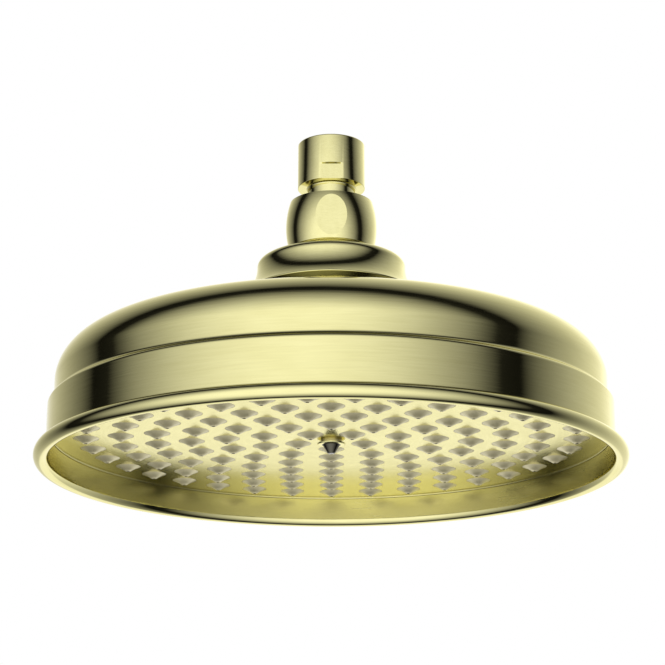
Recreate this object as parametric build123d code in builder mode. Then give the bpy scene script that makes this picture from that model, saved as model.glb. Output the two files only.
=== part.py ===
"""Fixed shower head: an apron-style overhead rose on a ball swivel with a G1/2 inlet.

Frame: the origin is the centre of the inlet's mouth, +Z points up along the supply pipe, and -Y is the front.
Sizes are in millimetres. Levels are worked out from the inlet downwards.
"""
import os
from math import asin, cos, pi, radians, sin, sqrt, tan

from build123d import *

# Inlet coupling, neck and ball, turned as one stem
COUPLING_RADIUS = 11.85
COUPLING_LENGTH = 16.5
COUPLING_EDGE = 0.5
THREAD_MINOR_RADIUS = 9.32
THREAD_LENGTH = 9.5
RELIEF_RADIUS = 10.3
STEM_FLAT_DISTANCE = 11.1
STEM_FLAT_HEIGHT = 5.4
NECK_RADIUS = 8.4
WATERWAY_RADIUS = 4.5
BALL_RADIUS = 10.5
BALL_DROP = 14.5
BALL_FLAT_DEPTH = 8.5

# Inlet strainer and washer
SCREEN_RADIUS = 8.6
SCREEN_THICKNESS = 0.5
SCREEN_HOLE = 1.3
SCREEN_PITCH = 2.2
SCREEN_GRID = 3
INLET_WASHER_THICKNESS = 2.0
INLET_WASHER_BORE = 5.5
WASHER_CLEARANCE = 0.15

# Ball nut and what bears on the ball
BALL_CLEARANCE = 0.15
SLIP_RING_THICKNESS = 1.35
SLIP_RING_TOP_ANGLE = 60.0
SLIP_RING_BOTTOM_ANGLE = 76.0
NUT_MOUTH_RADIUS = 10.3
NUT_TOP_RADIUS = 14.6
NUT_MAX_RADIUS = 15.95
NUT_BOTTOM_RADIUS = 14.7
NUT_CROWN = 1.3
NUT_ABOVE_BALL = 9.9
NUT_BELOW_BALL = 8.8
NUT_FLAT_DISTANCE = 15.0
SEAT_BELOW_BALL = 1.9
SEAT_HEIGHT = 4.2
SEAT_LAND = 0.4
SEAL_HEIGHT = 3.4
SEAT_RADIUS = 11.3
SEAL_BORE = 8.05
FIT_CLEARANCE = 0.1

# Collar with its threaded spigots
SPIGOT_RADIUS = 13.2
SHOULDER_RING_RADIUS = 14.6
NUT_GAP = 1.6
COLLAR_TOP_RADIUS = 24.0
COLLAR_RADIUS = 25.9
COLLAR_CROWN = 2.6
COLLAR_EDGE = 2.4
COLLAR_HEIGHT = 15.2
COLLAR_SKIRT_RADIUS = 30.3
COLLAR_FOOT_RADIUS = 24.5
COLLAR_FOOT_LENGTH = 3.9
COLLAR_BORE_RADIUS = 6.5
BALL_WELL_RADIUS = 8.3
BALL_WELL_DEPTH = 3.0
TAIL_RADIUS = 10.0
TAIL_LENGTH = 12.5
GASKET_THICKNESS = 0.6
GASKET_RADIUS = 23.5
LOCK_WASHER_THICKNESS = 1.0
LOCK_WASHER_RADIUS = 17.0
LOCKNUT_HEIGHT = 6.0
LOCKNUT_ACROSS_FLATS = 27.0

# Spun shell: flat land, crown, shoulder, dome side, joggle, apron and rolled rim
WALL = 1.2
RIM_RADIUS = 100.0
BEAD_RADIUS = 2.5
RIM_OVERHANG = 4.0
JOGGLE_STEP = 2.05
LAND_RADIUS = 27.0
CROWN_SLOPE = 18.0
CROWN_CHORD_SLOPE = 15.485
SHOULDER_RADIUS = 14.35
DOME_SIDE_HEIGHT = 6.0
JOGGLE_HEIGHT = 2.8
APRON_HEIGHT = 16.75

# Face plate, nozzle mat and their seat
PLATE_RECESS = 8.2
PLATE_THICKNESS = 1.2
PLATE_CLEARANCE = 0.1
NOZZLE_RINGS = 7
NOZZLES_PER_RING_STEP = 5
PLATE_MARGIN = 11.68
NOZZLE_SIDES = 6
NOZZLE_RADIUS = 4.4
NOZZLE_HEIGHT = 1.75
NOZZLE_TIP_RADIUS = 0.75
OUTLET_SIDES = 4
OUTLET_RADIUS = 0.4
HOLE_CLEARANCE = 0.08
MAT_THICKNESS = 1.2
MAT_MARGIN = 4.6
BACKING_THICKNESS = 1.2
BACKING_SPOKES = 6
BACKING_SLOT_WIDTH = 7.0
SEAT_RING_WIDTH = 6.2
SEAT_RING_HEIGHT = 3.0
PLATE_SEAL_WIDTH = 4.0

# Centre post and finial screw
POST_RADIUS = 4.5
SPIDER_RADIUS = 6.45
SPIDER_HEIGHT = 6.0
SPIDER_ARM = 2.5
SCREW_SHANK_RADIUS = 2.0
SCREW_SHANK_LENGTH = 12.0
SCREW_SEAL_THICKNESS = 0.8
SCREW_SEAL_RADIUS = 3.6
FINIAL_FLANGE_RADIUS = 4.75
FINIAL_FLANGE_HEIGHT = 0.9
FINIAL_CONE_RADIUS = 3.0
FINIAL_TIP_RADIUS = 1.2
FINIAL_CONE_HEIGHT = 3.6

# Levels along the axis, from the inlet's mouth at zero
socket_depth = THREAD_LENGTH + INLET_WASHER_THICKNESS + SCREEN_THICKNESS
z_coupling = -COUPLING_LENGTH
z_ball = z_coupling - BALL_DROP
z_nut_top = z_ball + NUT_ABOVE_BALL
z_nut_bottom = z_ball - NUT_BELOW_BALL
z_seat_top = z_ball - SEAT_BELOW_BALL
z_seal_top = z_seat_top - SEAT_HEIGHT
z_well = z_seal_top - SEAL_HEIGHT
z_collar_top = z_nut_bottom - NUT_GAP
z_skirt = z_collar_top - COLLAR_HEIGHT
z_foot = z_skirt - COLLAR_FOOT_LENGTH
z_land = z_foot - GASKET_THICKNESS
z_lock_washer = z_land - WALL
z_locknut = z_lock_washer - LOCK_WASHER_THICKNESS
z_tail = z_foot - TAIL_LENGTH

# Radii across the shell and the plate, from the rim inwards
apron_radius = RIM_RADIUS - RIM_OVERHANG
dome_radius = apron_radius - JOGGLE_STEP
inner_radius = apron_radius - WALL
plate_radius = inner_radius - PLATE_CLEARANCE
seat_ring_inner = inner_radius - SEAT_RING_WIDTH
ring_pitch = (plate_radius - PLATE_MARGIN) / NOZZLE_RINGS
field_radius = plate_radius - PLATE_MARGIN + MAT_MARGIN

# The crown's arc meets the shoulder's arc at CROWN_SLOPE
slope = radians(CROWN_SLOPE)
r_joint = dome_radius - SHOULDER_RADIUS * (1 - sin(slope))
z_joint = z_land - (r_joint - LAND_RADIUS) * tan(radians(CROWN_CHORD_SLOPE))
z_shoulder = z_joint - SHOULDER_RADIUS * cos(slope)
z_joggle = z_shoulder - DOME_SIDE_HEIGHT
z_apron = z_joggle - JOGGLE_HEIGHT
z_bead = z_apron - APRON_HEIGHT
z_plate = z_bead + PLATE_RECESS
z_mat = z_plate + PLATE_THICKNESS
z_backing = z_mat + MAT_THICKNESS
z_post = z_backing + BACKING_THICKNESS
slip_inner = BALL_RADIUS + BALL_CLEARANCE
slip_outer = slip_inner + SLIP_RING_THICKNESS
nut_sphere = slip_outer + BALL_CLEARANCE


def on_sphere(radius, angle):
    """A profile point on a sphere about the ball's centre, by its angle from +Z."""
    return (radius * sin(radians(angle)), z_ball + radius * cos(radians(angle)))


def finish(part, name):
    """Label a finished piece and write it."""
    part.label = name
    export_step(part, f"parts/{name}.step")


def ring(inner, outer, bottom, height):
    """A plain flat ring about the axis."""
    with BuildPart() as made:
        with BuildSketch(Plane.XY.offset(bottom)):
            Circle(outer)
            Circle(inner, mode=Mode.SUBTRACT)
        extrude(amount=height)
    return made.part


def nozzle_places():
    """Centres of the nozzles, ring by ring, with one of each ring on +Y."""
    places = []
    for step in range(1, NOZZLE_RINGS + 1):
        places += PolarLocations(step * ring_pitch, step * NOZZLES_PER_RING_STEP, start_angle=90).locations
    return [Location(place.position) for place in places]


os.makedirs("parts", exist_ok=True)

# Ball stem: coupling with a female G1/2 socket and two wrench flats, neck, and ball with a flat foot
z_neck = z_ball + sqrt(BALL_RADIUS**2 - NECK_RADIUS**2)
z_ball_flat = z_ball - BALL_FLAT_DEPTH
ball_flat_radius = sqrt(BALL_RADIUS**2 - BALL_FLAT_DEPTH**2)
with BuildPart() as ball_stem:
    with BuildSketch(Plane.XZ):
        with BuildLine():
            Polyline(
                (ball_flat_radius, z_ball_flat),
                (0, z_ball_flat),
                (0, 0),
                (COUPLING_RADIUS - COUPLING_EDGE, 0),
                (COUPLING_RADIUS, -COUPLING_EDGE),
                (COUPLING_RADIUS, z_coupling),
                (NECK_RADIUS, z_coupling),
                (NECK_RADIUS, z_neck),
            )
            ThreePointArc((NECK_RADIUS, z_neck), (BALL_RADIUS, z_ball), (ball_flat_radius, z_ball_flat))
        make_face()
    revolve(axis=Axis.Z)
    with BuildSketch(Plane.XZ):
        with BuildLine():
            Polyline(
                (0, 0),
                (THREAD_MINOR_RADIUS, 0),
                (THREAD_MINOR_RADIUS, -THREAD_LENGTH),
                (RELIEF_RADIUS, -THREAD_LENGTH),
                (RELIEF_RADIUS, -socket_depth),
                (WATERWAY_RADIUS, -socket_depth),
                (WATERWAY_RADIUS, z_ball_flat),
                (0, z_ball_flat),
                close=True,
            )
        make_face()
    revolve(axis=Axis.Z, mode=Mode.SUBTRACT)
    flat_depth = COUPLING_RADIUS - STEM_FLAT_DISTANCE
    for side in (-1, 1):
        with BuildSketch(Plane.XY.offset(z_coupling)):
            with Locations((0, side * (STEM_FLAT_DISTANCE + flat_depth))):
                Rectangle(2 * COUPLING_RADIUS, 2 * flat_depth)
        extrude(amount=STEM_FLAT_HEIGHT, mode=Mode.SUBTRACT)
finish(ball_stem.part, "ball_stem")

# Strainer screen on the socket's floor, under the inlet washer
with BuildPart() as filter_screen:
    with BuildSketch(Plane.XY.offset(-socket_depth)):
        Circle(SCREEN_RADIUS)
        with GridLocations(SCREEN_PITCH, SCREEN_PITCH, SCREEN_GRID, SCREEN_GRID):
            Rectangle(SCREEN_HOLE, SCREEN_HOLE, mode=Mode.SUBTRACT)
    extrude(amount=SCREEN_THICKNESS)
finish(filter_screen.part, "filter_screen")

inlet_washer = ring(
    INLET_WASHER_BORE,
    RELIEF_RADIUS - WASHER_CLEARANCE,
    -socket_depth + SCREEN_THICKNESS,
    INLET_WASHER_THICKNESS,
)
finish(inlet_washer, "inlet_washer")

# Slip ring: a spherical band between the ball and the nut
with BuildPart() as slip_ring:
    with BuildSketch(Plane.XZ):
        middle = (SLIP_RING_TOP_ANGLE + SLIP_RING_BOTTOM_ANGLE) / 2
        with BuildLine():
            ThreePointArc(
                on_sphere(slip_inner, SLIP_RING_TOP_ANGLE),
                on_sphere(slip_inner, middle),
                on_sphere(slip_inner, SLIP_RING_BOTTOM_ANGLE),
            )
            Line(on_sphere(slip_inner, SLIP_RING_BOTTOM_ANGLE), on_sphere(slip_outer, SLIP_RING_BOTTOM_ANGLE))
            ThreePointArc(
                on_sphere(slip_outer, SLIP_RING_BOTTOM_ANGLE),
                on_sphere(slip_outer, middle),
                on_sphere(slip_outer, SLIP_RING_TOP_ANGLE),
            )
            Line(on_sphere(slip_outer, SLIP_RING_TOP_ANGLE), on_sphere(slip_inner, SLIP_RING_TOP_ANGLE))
        make_face()
    revolve(axis=Axis.Z)
finish(slip_ring.part, "slip_ring")

# Ball nut: bulbous outside with two oval wrench flats, spherical inside, threaded skirt
mouth_angle = asin(NUT_MOUTH_RADIUS / nut_sphere)
z_mouth = z_ball + nut_sphere * cos(mouth_angle)
thread_radius = SPIGOT_RADIUS + FIT_CLEARANCE
z_nut_shoulder = z_nut_top - NUT_CROWN
with BuildPart() as ball_nut:
    with BuildSketch(Plane.XZ):
        with BuildLine():
            Line((NUT_MOUTH_RADIUS, z_mouth), (NUT_MOUTH_RADIUS, z_nut_top))
            crown_middle = (NUT_MOUTH_RADIUS + NUT_TOP_RADIUS) / 2
            ThreePointArc(
                (NUT_MOUTH_RADIUS, z_nut_top),
                (crown_middle, z_nut_top - NUT_CROWN * 0.4),
                (NUT_TOP_RADIUS, z_nut_shoulder),
            )
            ThreePointArc(
                (NUT_TOP_RADIUS, z_nut_shoulder),
                (NUT_MAX_RADIUS, z_ball),
                (NUT_BOTTOM_RADIUS, z_nut_bottom),
            )
            Polyline(
                (NUT_BOTTOM_RADIUS, z_nut_bottom),
                (thread_radius, z_nut_bottom),
                (thread_radius, z_seat_top),
                (nut_sphere, z_seat_top),
                (nut_sphere, z_ball),
            )
            ThreePointArc(
                (nut_sphere, z_ball),
                on_sphere(nut_sphere, 45 + 90 * mouth_angle / radians(180)),
                (NUT_MOUTH_RADIUS, z_mouth),
            )
        make_face()
    revolve(axis=Axis.Z)
    nut_flat_depth = NUT_MAX_RADIUS - NUT_FLAT_DISTANCE
    for side in (-1, 1):
        with BuildSketch(Plane.XY.offset(z_nut_bottom)):
            with Locations((0, side * (NUT_FLAT_DISTANCE + nut_flat_depth))):
                Rectangle(2 * NUT_MAX_RADIUS, 2 * nut_flat_depth)
        extrude(amount=z_nut_top - z_nut_bottom, mode=Mode.SUBTRACT)
finish(ball_nut.part, "ball_nut")

# Ball seat and the soft seal under it, both with a spherical face on the ball
def ring_on_ball(top, bottom, face_end):
    """A ring whose inner face follows the ball from its top down to face_end, and is a bore below that."""
    radii = [sqrt(slip_inner**2 - (z_ball - z) ** 2) for z in (top, (top + face_end) / 2, face_end)]
    with BuildPart() as made:
        with BuildSketch(Plane.XZ):
            with BuildLine():
                ThreePointArc((radii[0], top), (radii[1], (top + face_end) / 2), (radii[2], face_end))
                Polyline(
                    (radii[2], face_end),
                    (radii[2], bottom),
                    (SEAT_RADIUS, bottom),
                    (SEAT_RADIUS, top),
                    (radii[0], top),
                )
            make_face()
        revolve(axis=Axis.Z)
    return made.part


finish(ring_on_ball(z_seat_top, z_seal_top, z_seal_top + SEAT_LAND), "ball_seat")
finish(ring_on_ball(z_seal_top, z_well, z_ball - sqrt(slip_inner**2 - SEAL_BORE**2)), "ball_seal")

# Collar: threaded spigot with the ball's well, rounded drum with a flared skirt, foot and threaded tail
z_collar_edge = z_collar_top - COLLAR_CROWN
well_radius = SEAT_RADIUS + FIT_CLEARANCE
with BuildPart() as collar:
    with BuildSketch(Plane.XZ):
        with BuildLine():
            Polyline(
                (COLLAR_BORE_RADIUS, z_tail),
                (COLLAR_BORE_RADIUS, z_well - BALL_WELL_DEPTH),
                (BALL_WELL_RADIUS, z_well - BALL_WELL_DEPTH),
                (BALL_WELL_RADIUS, z_well),
                (well_radius, z_well),
                (well_radius, z_seat_top),
                (SPIGOT_RADIUS, z_seat_top),
                (SPIGOT_RADIUS, z_nut_bottom),
                (SHOULDER_RING_RADIUS, z_nut_bottom),
                (SHOULDER_RING_RADIUS, z_collar_top),
                (COLLAR_TOP_RADIUS, z_collar_edge),
            )
            TangentArc(
                (COLLAR_TOP_RADIUS, z_collar_edge),
                (COLLAR_RADIUS, z_collar_edge - COLLAR_EDGE),
                tangent=(COLLAR_TOP_RADIUS - SHOULDER_RING_RADIUS, -COLLAR_CROWN),
            )
            TangentArc(
                (COLLAR_RADIUS, z_collar_edge - COLLAR_EDGE), (COLLAR_SKIRT_RADIUS, z_skirt), tangent=(0, -1)
            )
            Polyline(
                (COLLAR_SKIRT_RADIUS, z_skirt),
                (COLLAR_FOOT_RADIUS, z_foot),
                (TAIL_RADIUS, z_foot),
                (TAIL_RADIUS, z_tail),
                (COLLAR_BORE_RADIUS, z_tail),
            )
        make_face()
    revolve(axis=Axis.Z)
finish(collar.part, "collar")

dome_gasket = ring(TAIL_RADIUS + FIT_CLEARANCE, GASKET_RADIUS, z_land, GASKET_THICKNESS)
finish(dome_gasket, "dome_gasket")

lock_washer = ring(TAIL_RADIUS + FIT_CLEARANCE, LOCK_WASHER_RADIUS, z_locknut, LOCK_WASHER_THICKNESS)
finish(lock_washer, "lock_washer")

with BuildPart() as locknut:
    with BuildSketch(Plane.XY.offset(z_locknut - LOCKNUT_HEIGHT)):
        RegularPolygon(LOCKNUT_ACROSS_FLATS / 2, 6, major_radius=False)
        Circle(TAIL_RADIUS + FIT_CLEARANCE, mode=Mode.SUBTRACT)
    extrude(amount=LOCKNUT_HEIGHT)
finish(locknut.part, "locknut")

# Shell: one spun sheet, with its rim rolled into a round bead
hole_radius = TAIL_RADIUS + FIT_CLEARANCE
joggle_middle = ((dome_radius + apron_radius) / 2, (z_joggle + z_apron) / 2)
inner_joint = (r_joint - WALL * sin(slope), z_joint - WALL * cos(slope))
with BuildPart() as shell:
    with BuildSketch(Plane.XZ):
        with BuildLine():
            Polyline((hole_radius, z_land - WALL), (hole_radius, z_land), (LAND_RADIUS, z_land))
            TangentArc((r_joint, z_joint), (LAND_RADIUS, z_land), tangent=(-cos(slope), sin(slope)))
            TangentArc((r_joint, z_joint), (dome_radius, z_shoulder), tangent=(cos(slope), -sin(slope)))
            Line((dome_radius, z_shoulder), (dome_radius, z_joggle))
            TangentArc((dome_radius, z_joggle), joggle_middle, tangent=(0, -1))
            TangentArc((apron_radius, z_apron), joggle_middle, tangent=(0, 1))
            Polyline(
                (apron_radius, z_apron),
                (apron_radius, z_bead),
                (inner_radius, z_bead),
                (inner_radius, z_apron),
                (dome_radius - WALL, z_joggle),
                (dome_radius - WALL, z_shoulder),
            )
            TangentArc(inner_joint, (dome_radius - WALL, z_shoulder), tangent=(cos(slope), -sin(slope)))
            TangentArc(inner_joint, (LAND_RADIUS, z_land - WALL), tangent=(-cos(slope), sin(slope)))
            Line((LAND_RADIUS, z_land - WALL), (hole_radius, z_land - WALL))
        make_face()
    revolve(axis=Axis.Z)
    with BuildSketch(Plane.XZ):
        with Locations((RIM_RADIUS - BEAD_RADIUS, z_bead)):
            Circle(BEAD_RADIUS)
    revolve(axis=Axis.Z)
finish(shell.part, "shell")

# Seat ring brazed inside the apron, and the gasket between it and the plate's rim
plate_seat = ring(seat_ring_inner, inner_radius, z_backing, SEAT_RING_HEIGHT)
finish(plate_seat, "plate_seat")

plate_seal = ring(plate_radius - PLATE_SEAL_WIDTH, plate_radius, z_mat, MAT_THICKNESS)
finish(plate_seal, "plate_seal")

# Face plate: a flat disc pierced for the nozzles and the centre screw
with BuildPart() as face_plate:
    with BuildSketch(Plane.XY.offset(z_plate)):
        Circle(plate_radius)
        Circle(SCREW_SHANK_RADIUS + FIT_CLEARANCE, mode=Mode.SUBTRACT)
        with Locations(*nozzle_places()):
            RegularPolygon(NOZZLE_RADIUS + HOLE_CLEARANCE, NOZZLE_SIDES, mode=Mode.SUBTRACT)
    extrude(amount=PLATE_THICKNESS)
finish(face_plate.part, "face_plate")

# Nozzle mat: a soft disc behind the plate, with a conical nozzle through each of the plate's holes
with BuildPart() as one_nozzle:
    with BuildSketch(Plane.XY.offset(z_mat)):
        RegularPolygon(NOZZLE_RADIUS, NOZZLE_SIDES)
    extrude(amount=-(PLATE_THICKNESS + NOZZLE_HEIGHT))
    tip = one_nozzle.faces().sort_by(Axis.Z)[0]
    inset = (NOZZLE_RADIUS - NOZZLE_TIP_RADIUS) * cos(pi / NOZZLE_SIDES)
    chamfer(tip.edges(), length=inset, length2=NOZZLE_HEIGHT, reference=tip)
with BuildPart() as nozzle_mat:
    with BuildSketch(Plane.XY.offset(z_mat)):
        Circle(field_radius)
        Circle(SCREW_SHANK_RADIUS + FIT_CLEARANCE, mode=Mode.SUBTRACT)
    extrude(amount=MAT_THICKNESS)
    with Locations(*nozzle_places()):
        add(one_nozzle.part)
    with BuildSketch(Plane.XY.offset(z_plate - NOZZLE_HEIGHT)):
        with Locations(*nozzle_places()):
            RegularPolygon(OUTLET_RADIUS, OUTLET_SIDES)
    extrude(amount=NOZZLE_HEIGHT + PLATE_THICKNESS + MAT_THICKNESS, mode=Mode.SUBTRACT)
finish(nozzle_mat.part, "nozzle_mat")

# Backing plate: holds the mat down, with a ring of slots between its spokes over each ring of nozzles
with BuildPart() as mat_backing:
    with BuildSketch(Plane.XY.offset(z_backing)):
        Circle(field_radius)
        Circle(SCREW_SHANK_RADIUS + FIT_CLEARANCE, mode=Mode.SUBTRACT)
        for step in range(1, NOZZLE_RINGS + 1):
            with BuildSketch(mode=Mode.SUBTRACT):
                Circle(step * ring_pitch + BACKING_SLOT_WIDTH / 2)
                Circle(step * ring_pitch - BACKING_SLOT_WIDTH / 2, mode=Mode.SUBTRACT)
                with PolarLocations(field_radius / 2, BACKING_SPOKES):
                    Rectangle(field_radius, BACKING_SLOT_WIDTH / 2, mode=Mode.SUBTRACT)
    extrude(amount=BACKING_THICKNESS)
finish(mat_backing.part, "mat_backing")

# Centre post: a rod from the backing plate up to a three-armed spider in the tail's bore
with BuildPart() as centre_post:
    with BuildSketch(Plane.XY.offset(z_post)):
        Circle(POST_RADIUS)
    extrude(amount=z_tail - z_post)
    with BuildSketch(Plane.XY.offset(z_tail)):
        with BuildSketch():
            with PolarLocations(SPIDER_RADIUS / 2, 3):
                Rectangle(SPIDER_RADIUS, SPIDER_ARM)
            Circle(SPIDER_RADIUS, mode=Mode.INTERSECT)
    extrude(amount=SPIDER_HEIGHT)
    with BuildSketch(Plane.XY.offset(z_post)):
        Circle(SCREW_SHANK_RADIUS + FIT_CLEARANCE)
    extrude(amount=SCREW_SHANK_LENGTH, mode=Mode.SUBTRACT)
finish(centre_post.part, "centre_post")

# Finial screw and the soft washer under its flange
z_screw_seal = z_plate - SCREW_SEAL_THICKNESS
z_flange = z_screw_seal - FINIAL_FLANGE_HEIGHT
screw_seal = ring(SCREW_SHANK_RADIUS + FIT_CLEARANCE, SCREW_SEAL_RADIUS, z_screw_seal, SCREW_SEAL_THICKNESS)
finish(screw_seal, "screw_seal")

with BuildPart() as centre_screw:
    with BuildSketch(Plane.XZ):
        with BuildLine():
            Polyline(
                (0, z_flange - FINIAL_CONE_HEIGHT),
                (FINIAL_TIP_RADIUS, z_flange - FINIAL_CONE_HEIGHT),
                (FINIAL_CONE_RADIUS, z_flange),
                (FINIAL_FLANGE_RADIUS, z_flange),
                (FINIAL_FLANGE_RADIUS, z_screw_seal),
                (SCREW_SHANK_RADIUS, z_screw_seal),
                (SCREW_SHANK_RADIUS, z_screw_seal + SCREW_SHANK_LENGTH),
                (0, z_screw_seal + SCREW_SHANK_LENGTH),
                close=True,
            )
        make_face()
    revolve(axis=Axis.Z)
finish(centre_screw.part, "centre_screw")
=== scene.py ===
"""Dresses the fixed shower head.

Turned and brushed gold pieces, a pierced plate, soft nozzles and a small studio.
"""

from math import acos, asin, atan2, cos, pi, radians, sin, sqrt, tan

import bmesh
import bpy
from bpy.props import FloatProperty, FloatVectorProperty, IntProperty, PointerProperty
from mathutils import Matrix, Vector


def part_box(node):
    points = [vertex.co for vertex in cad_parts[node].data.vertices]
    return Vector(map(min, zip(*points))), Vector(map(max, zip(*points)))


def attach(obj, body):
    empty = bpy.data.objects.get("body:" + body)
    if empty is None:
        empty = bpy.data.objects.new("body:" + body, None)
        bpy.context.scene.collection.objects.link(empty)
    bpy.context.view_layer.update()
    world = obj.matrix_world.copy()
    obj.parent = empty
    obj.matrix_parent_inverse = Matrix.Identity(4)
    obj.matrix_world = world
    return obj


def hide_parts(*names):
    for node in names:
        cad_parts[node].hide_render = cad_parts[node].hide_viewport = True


bl_info = {
    "name": "Fixed shower head",
    "version": (1, 0, 0),
    "blender": (4, 5, 0),
    "location": "View3D > Sidebar > Shower head",
    "description": "Builds the visible pieces of an overhead shower head on its packed frame",
    "category": "Add Mesh",
}

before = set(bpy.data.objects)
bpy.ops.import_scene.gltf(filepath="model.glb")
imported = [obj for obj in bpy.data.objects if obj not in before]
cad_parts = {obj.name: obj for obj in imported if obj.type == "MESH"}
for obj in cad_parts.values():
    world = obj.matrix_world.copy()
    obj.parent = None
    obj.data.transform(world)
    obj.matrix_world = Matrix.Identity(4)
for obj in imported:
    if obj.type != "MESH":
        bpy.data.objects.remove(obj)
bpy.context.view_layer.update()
MM = 0.001
# Roundings of turned edges, and the steps in which a rounding is drawn
HAIR_EDGE, FINE_EDGE, EDGE, BROAD_EDGE = 0.1 * MM, 0.2 * MM, 0.3 * MM, 0.4 * MM
EDGE_STEPS = 8
# Sides of round pieces, from the smallest to the largest
NOZZLE_SIDES, HOLE_SIDES, SCREW_SIDES, TURNED_SIDES, FINE_SIDES = 16, 28, 96, 224, 256
# Rows of the inlet thread, and the share of a turn that is flat at its crest and at its root
THREAD_STEPS, THREAD_FLAT = 84, 0.12
# Edges sharper than this stay edges in the shading
SHARP_ANGLE = radians(14)
# Depths of the relief in the finishes
BRUSHED_DEPTH, GRAIN_DEPTH = 0.2 * MM, 0.1 * MM
# The tent's brightness, by the angle in degrees from the middle of its front
TENT_TONES = (
    (0, 1.0), (20, 0.99), (30, 0.94), (36, 0.9), (45, 0.77), (55, 0.59),
    (65, 0.4), (75, 0.235), (82, 0.1), (88, 0.01), (97, 0.005), (105, 0.12),
    (120, 0.3), (135, 0.48), (150, 0.68), (163, 0.91), (172, 0.95),
)


def number(name, description, default, **options):
    """A plain property."""
    return FloatProperty(name=name, description=description, default=default, **options)


def length(name, description, value, unit=MM):
    """A length property, with its default in millimetres unless another unit is given."""
    return number(name, description, value * unit, unit="LENGTH", precision=5)


def angle_of(name, description, degrees):
    """An angle property, with its default in degrees."""
    return number(name, description, radians(degrees), subtype="ANGLE")


def level(name, description, node, side):
    """A height along the axis, read from the lowest (0) or highest (1) corner of a CAD node."""
    return length(name, description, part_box(node)[side].z, 1)


def radius_of(name, description, node):
    """An outside radius, read from the box of a turned CAD node."""
    return length(name, description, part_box(node)[1].x, 1)


def spot(name, description, metres):
    """A place in the scene."""
    return FloatVectorProperty(name=name, description=description, default=metres, subtype="TRANSLATION")


def finish_colour(name, description, rgb):
    """A surface colour, in linear values."""
    return FloatVectorProperty(name=name, description=description, default=rgb, subtype="COLOR", min=0, max=1)


class StemSizes(bpy.types.PropertyGroup):
    """Sizes of the inlet coupling, its neck and its ball."""

    coupling_radius: length("Coupling radius", "Outside radius of the inlet coupling", 11.85)
    coupling_bottom: length("Coupling bottom", "Height of the coupling's lower face", -16.5)
    coupling_edge: length("Coupling edge", "Rounding of the coupling's upper edge", 0.5)
    thread_minor: length("Thread minor radius", "Crest radius of the female inlet thread", 9.32)
    thread_major: length("Thread major radius", "Root radius of the female inlet thread", 10.42)
    thread_pitch: length("Thread pitch", "Rise of the inlet thread in one turn", 1.814)
    thread_bottom: length("Thread bottom", "Height where the inlet thread ends", -9.5)
    relief_radius: length("Relief radius", "Radius of the washer's relief below the thread", 10.3)
    socket_bottom: length("Socket bottom", "Height of the socket's floor", -12.0)
    flat_distance: length("Flat distance", "Distance of each wrench flat from the axis", 11.1)
    flat_top: length("Flat top", "Height where the wrench flats end", -11.1)
    flat_run: length("Flat run", "Height over which each wrench flat runs out", 0.43)
    neck_radius: length("Neck radius", "Radius of the neck above the ball", 8.4)
    neck_fillet: length("Neck fillet", "Rounding where the neck meets the coupling", 0.6)
    waterway_radius: length("Waterway radius", "Radius of the bore through the ball", 4.5)
    ball_radius: length("Ball radius", "Radius of the swivel ball", 10.5)
    ball_centre: length("Ball centre", "Height of the ball's centre", -31.0)
    ball_foot: level("Ball foot", "Height of the flat under the ball", "ball_stem", 0)


class NutSizes(bpy.types.PropertyGroup):
    """Sizes of the nut that holds the ball."""

    top: level("Top", "Height of the nut's mouth", "ball_nut", 1)
    bottom: level("Bottom", "Height of the nut's lower face", "ball_nut", 0)
    mouth_radius: length("Mouth radius", "Radius of the opening round the neck", 10.3)
    mouth_edge: length("Mouth edge", "Rounding of the mouth's edge", 0.45)
    shoulder_radius: length("Shoulder radius", "Radius where the crown meets the side", 14.6)
    shoulder_drop: length("Shoulder drop", "Fall of the crown from the mouth to the side", 1.3)
    crown_bulge: number("Crown bulge", "Share of the crown's fall at its middle", 0.4, min=0, max=1)
    crown_drop: length("Crown drop", "How far under the mouth's top the crown starts", 0.04)
    largest_radius: radius_of("Largest radius", "Radius of the bulging side at the ball's centre", "ball_nut")
    bottom_radius: length("Bottom radius", "Radius of the lower edge", 14.7)
    flat_distance: length("Flat distance", "Distance of each oval wrench flat from the axis", 15.0)
    cavity_radius: length("Cavity radius", "Radius of the spherical hollow", 12.15)
    thread_radius: length("Thread radius", "Radius of the threaded skirt's bore", 13.3)
    thread_top: length("Thread top", "Height where the skirt's bore ends", -32.9)


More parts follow.
